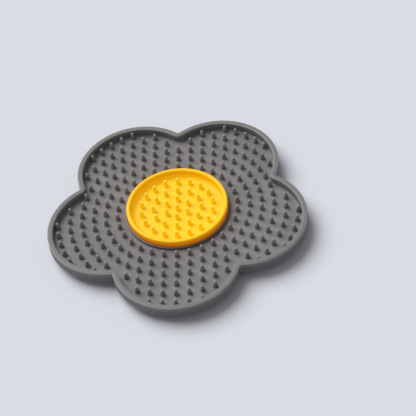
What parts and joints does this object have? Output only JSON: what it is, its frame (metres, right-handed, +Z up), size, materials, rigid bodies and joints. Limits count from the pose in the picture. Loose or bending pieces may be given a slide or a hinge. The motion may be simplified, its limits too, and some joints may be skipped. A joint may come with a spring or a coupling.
{
  "type": "lick mat",
  "caption": "Flower-shaped silicone lick mat: a shallow grey tray with rings of cone nubs, a lift-out yellow centre dish with its own nubs, and suction cups underneath.",
  "frame": {"origin": "the flower's centre, on the level surface that the suction cups' lips stand on", "axes": "+Z up out of the tray; one petal points along -Y, and +X is to the right when that petal is nearest"},
  "size_m": [0.1948, 0.19, 0.0152],
  "materials": {
    "mat_silicone": "matt moulded silicone, warm mid grey",
    "dish_silicone": "matt moulded silicone, warm yellow",
    "cup_silicone": "smooth, slightly translucent grey silicone"
  },
  "bodies": {
    "mat": {"mat_body": "mat_silicone"},
    "dish": {"centre_dish": "dish_silicone"},
    "cup_01": {"suction_cup_01": "cup_silicone"},
    "cup_02": {"suction_cup_02": "cup_silicone"},
    "cup_03": {"suction_cup_03": "cup_silicone"},
    "cup_04": {"suction_cup_04": "cup_silicone"},
    "cup_05": {"suction_cup_05": "cup_silicone"},
    "cup_06": {"suction_cup_06": "cup_silicone"},
    "cup_07": {"suction_cup_07": "cup_silicone"},
    "cup_08": {"suction_cup_08": "cup_silicone"},
    "cup_09": {"suction_cup_09": "cup_silicone"},
    "cup_10": {"suction_cup_10": "cup_silicone"},
    "cup_11": {"suction_cup_11": "cup_silicone"},
    "cup_12": {"suction_cup_12": "cup_silicone"},
    "cup_13": {"suction_cup_13": "cup_silicone"},
    "cup_14": {"suction_cup_14": "cup_silicone"},
    "cup_15": {"suction_cup_15": "cup_silicone"},
    "cup_16": {"suction_cup_16": "cup_silicone"},
    "cup_17": {"suction_cup_17": "cup_silicone"},
    "cup_18": {"suction_cup_18": "cup_silicone"},
    "cup_19": {"suction_cup_19": "cup_silicone"},
    "cup_20": {"suction_cup_20": "cup_silicone"},
    "cup_21": {"suction_cup_21": "cup_silicone"},
    "cup_22": {"suction_cup_22": "cup_silicone"},
    "cup_23": {"suction_cup_23": "cup_silicone"},
    "cup_24": {"suction_cup_24": "cup_silicone"},
    "cup_25": {"suction_cup_25": "cup_silicone"},
    "cup_26": {"suction_cup_26": "cup_silicone"},
    "cup_27": {"suction_cup_27": "cup_silicone"},
    "cup_28": {"suction_cup_28": "cup_silicone"},
    "cup_29": {"suction_cup_29": "cup_silicone"},
    "cup_30": {"suction_cup_30": "cup_silicone"},
    "cup_31": {"suction_cup_31": "cup_silicone"}
  },
  "joints": [
    {"name": "dish_lift", "type": "slide", "parent": "mat", "child": "dish", "axis": [0, 0, 1], "range_m": [0, 0.02]},
    {"name": "cup_01_press", "type": "slide", "parent": "mat", "child": "cup_01", "axis": [0, 0, 1], "range_m": [0, 0.0012], "stiffness_N_per_m": 200, "springref_m": -0.001},
    {"name": "cup_02_press", "type": "slide", "parent": "mat", "child": "cup_02", "axis": [0, 0, 1], "range_m": [0, 0.0012], "stiffness_N_per_m": 200, "springref_m": -0.001},
    {"name": "cup_03_press", "type": "slide", "parent": "mat", "child": "cup_03", "axis": [0, 0, 1], "range_m": [0, 0.0012], "stiffness_N_per_m": 200, "springref_m": -0.001},
    {"name": "cup_04_press", "type": "slide", "parent": "mat", "child": "cup_04", "axis": [0, 0, 1], "range_m": [0, 0.0012], "stiffness_N_per_m": 200, "springref_m": -0.001},
    {"name": "cup_05_press", "type": "slide", "parent": "mat", "child": "cup_05", "axis": [0, 0, 1], "range_m": [0, 0.0012], "stiffness_N_per_m": 200, "springref_m": -0.001},
    {"name": "cup_06_press", "type": "slide", "parent": "mat", "child": "cup_06", "axis": [0, 0, 1], "range_m": [0, 0.0012], "stiffness_N_per_m": 200, "springref_m": -0.001},
    {"name": "cup_07_press", "type": "slide", "parent": "mat", "child": "cup_07", "axis": [0, 0, 1], "range_m": [0, 0.0012], "stiffness_N_per_m": 200, "springref_m": -0.001},
    {"name": "cup_08_press", "type": "slide", "parent": "mat", "child": "cup_08", "axis": [0, 0, 1], "range_m": [0, 0.0012], "stiffness_N_per_m": 200, "springref_m": -0.001},
    {"name": "cup_09_press", "type": "slide", "parent": "mat", "child": "cup_09", "axis": [0, 0, 1], "range_m": [0, 0.0012], "stiffness_N_per_m": 200, "springref_m": -0.001},
    {"name": "cup_10_press", "type": "slide", "parent": "mat", "child": "cup_10", "axis": [0, 0, 1], "range_m": [0, 0.0012], "stiffness_N_per_m": 200, "springref_m": -0.001},
    {"name": "cup_11_press", "type": "slide", "parent": "mat", "child": "cup_11", "axis": [0, 0, 1], "range_m": [0, 0.0012], "stiffness_N_per_m": 200, "springref_m": -0.001},
    {"name": "cup_12_press", "type": "slide", "parent": "mat", "child": "cup_12", "axis": [0, 0, 1], "range_m": [0, 0.0012], "stiffness_N_per_m": 200, "springref_m": -0.001},
    {"name": "cup_13_press", "type": "slide", "parent": "mat", "child": "cup_13", "axis": [0, 0, 1], "range_m": [0, 0.0012], "stiffness_N_per_m": 200, "springref_m": -0.001},
    {"name": "cup_14_press", "type": "slide", "parent": "mat", "child": "cup_14", "axis": [0, 0, 1], "range_m": [0, 0.0012], "stiffness_N_per_m": 200, "springref_m": -0.001},
    {"name": "cup_15_press", "type": "slide", "parent": "mat", "child": "cup_15", "axis": [0, 0, 1], "range_m": [0, 0.0012], "stiffness_N_per_m": 200, "springref_m": -0.001},
    {"name": "cup_16_press", "type": "slide", "parent": "mat", "child": "cup_16", "axis": [0, 0, 1], "range_m": [0, 0.0012], "stiffness_N_per_m": 200, "springref_m": -0.001},
    {"name": "cup_17_press", "type": "slide", "parent": "mat", "child": "cup_17", "axis": [0, 0, 1], "range_m": [0, 0.0012], "stiffness_N_per_m": 200, "springref_m": -0.001},
    {"name": "cup_18_press", "type": "slide", "parent": "mat", "child": "cup_18", "axis": [0, 0, 1], "range_m": [0, 0.0012], "stiffness_N_per_m": 200, "springref_m": -0.001},
    {"name": "cup_19_press", "type": "slide", "parent": "mat", "child": "cup_19", "axis": [0, 0, 1], "range_m": [0, 0.0012], "stiffness_N_per_m": 200, "springref_m": -0.001},
    {"name": "cup_20_press", "type": "slide", "parent": "mat", "child": "cup_20", "axis": [0, 0, 1], "range_m": [0, 0.0012], "stiffness_N_per_m": 200, "springref_m": -0.001},
    {"name": "cup_21_press", "type": "slide", "parent": "mat", "child": "cup_21", "axis": [0, 0, 1], "range_m": [0, 0.0012], "stiffness_N_per_m": 200, "springref_m": -0.001},
    {"name": "cup_22_press", "type": "slide", "parent": "mat", "child": "cup_22", "axis": [0, 0, 1], "range_m": [0, 0.0012], "stiffness_N_per_m": 200, "springref_m": -0.001},
    {"name": "cup_23_press", "type": "slide", "parent": "mat", "child": "cup_23", "axis": [0, 0, 1], "range_m": [0, 0.0012], "stiffness_N_per_m": 200, "springref_m": -0.001},
    {"name": "cup_24_press", "type": "slide", "parent": "mat", "child": "cup_24", "axis": [0, 0, 1], "range_m": [0, 0.0012], "stiffness_N_per_m": 200, "springref_m": -0.001},
    {"name": "cup_25_press", "type": "slide", "parent": "mat", "child": "cup_25", "axis": [0, 0, 1], "range_m": [0, 0.0012], "stiffness_N_per_m": 200, "springref_m": -0.001},
    {"name": "cup_26_press", "type": "slide", "parent": "mat", "child": "cup_26", "axis": [0, 0, 1], "range_m": [0, 0.0012], "stiffness_N_per_m": 200, "springref_m": -0.001},
    {"name": "cup_27_press", "type": "slide", "parent": "mat", "child": "cup_27", "axis": [0, 0, 1], "range_m": [0, 0.0012], "stiffness_N_per_m": 200, "springref_m": -0.001},
    {"name": "cup_28_press", "type": "slide", "parent": "mat", "child": "cup_28", "axis": [0, 0, 1], "range_m": [0, 0.0012], "stiffness_N_per_m": 200, "springref_m": -0.001},
    {"name": "cup_29_press", "type": "slide", "parent": "mat", "child": "cup_29", "axis": [0, 0, 1], "range_m": [0, 0.0012], "stiffness_N_per_m": 200, "springref_m": -0.001},
    {"name": "cup_30_press", "type": "slide", "parent": "mat", "child": "cup_30", "axis": [0, 0, 1], "range_m": [0, 0.0012], "stiffness_N_per_m": 200, "springref_m": -0.001},
    {"name": "cup_31_press", "type": "slide", "parent": "mat", "child": "cup_31", "axis": [0, 0, 1], "range_m": [0, 0.0012], "stiffness_N_per_m": 200, "springref_m": -0.001}
  ],
  "couplings": [
    {"joint": "cup_02_press", "follows": "cup_01_press", "ratio": 1},
    {"joint": "cup_03_press", "follows": "cup_01_press", "ratio": 1},
    {"joint": "cup_04_press", "follows": "cup_01_press", "ratio": 1},
    {"joint": "cup_05_press", "follows": "cup_01_press", "ratio": 1},
    {"joint": "cup_06_press", "follows": "cup_01_press", "ratio": 1},
    {"joint": "cup_07_press", "follows": "cup_01_press", "ratio": 1},
    {"joint": "cup_08_press", "follows": "cup_01_press", "ratio": 1},
    {"joint": "cup_09_press", "follows": "cup_01_press", "ratio": 1},
    {"joint": "cup_10_press", "follows": "cup_01_press", "ratio": 1},
    {"joint": "cup_11_press", "follows": "cup_01_press", "ratio": 1},
    {"joint": "cup_12_press", "follows": "cup_01_press", "ratio": 1},
    {"joint": "cup_13_press", "follows": "cup_01_press", "ratio": 1},
    {"joint": "cup_14_press", "follows": "cup_01_press", "ratio": 1},
    {"joint": "cup_15_press", "follows": "cup_01_press", "ratio": 1},
    {"joint": "cup_16_press", "follows": "cup_01_press", "ratio": 1},
    {"joint": "cup_17_press", "follows": "cup_01_press", "ratio": 1},
    {"joint": "cup_18_press", "follows": "cup_01_press", "ratio": 1},
    {"joint": "cup_19_press", "follows": "cup_01_press", "ratio": 1},
    {"joint": "cup_20_press", "follows": "cup_01_press", "ratio": 1},
    {"joint": "cup_21_press", "follows": "cup_01_press", "ratio": 1},
    {"joint": "cup_22_press", "follows": "cup_01_press", "ratio": 1},
    {"joint": "cup_23_press", "follows": "cup_01_press", "ratio": 1},
    {"joint": "cup_24_press", "follows": "cup_01_press", "ratio": 1},
    {"joint": "cup_25_press", "follows": "cup_01_press", "ratio": 1},
    {"joint": "cup_26_press", "follows": "cup_01_press", "ratio": 1},
    {"joint": "cup_27_press", "follows": "cup_01_press", "ratio": 1},
    {"joint": "cup_28_press", "follows": "cup_01_press", "ratio": 1},
    {"joint": "cup_29_press", "follows": "cup_01_press", "ratio": 1},
    {"joint": "cup_30_press", "follows": "cup_01_press", "ratio": 1},
    {"joint": "cup_31_press", "follows": "cup_01_press", "ratio": 1}
  ]
}
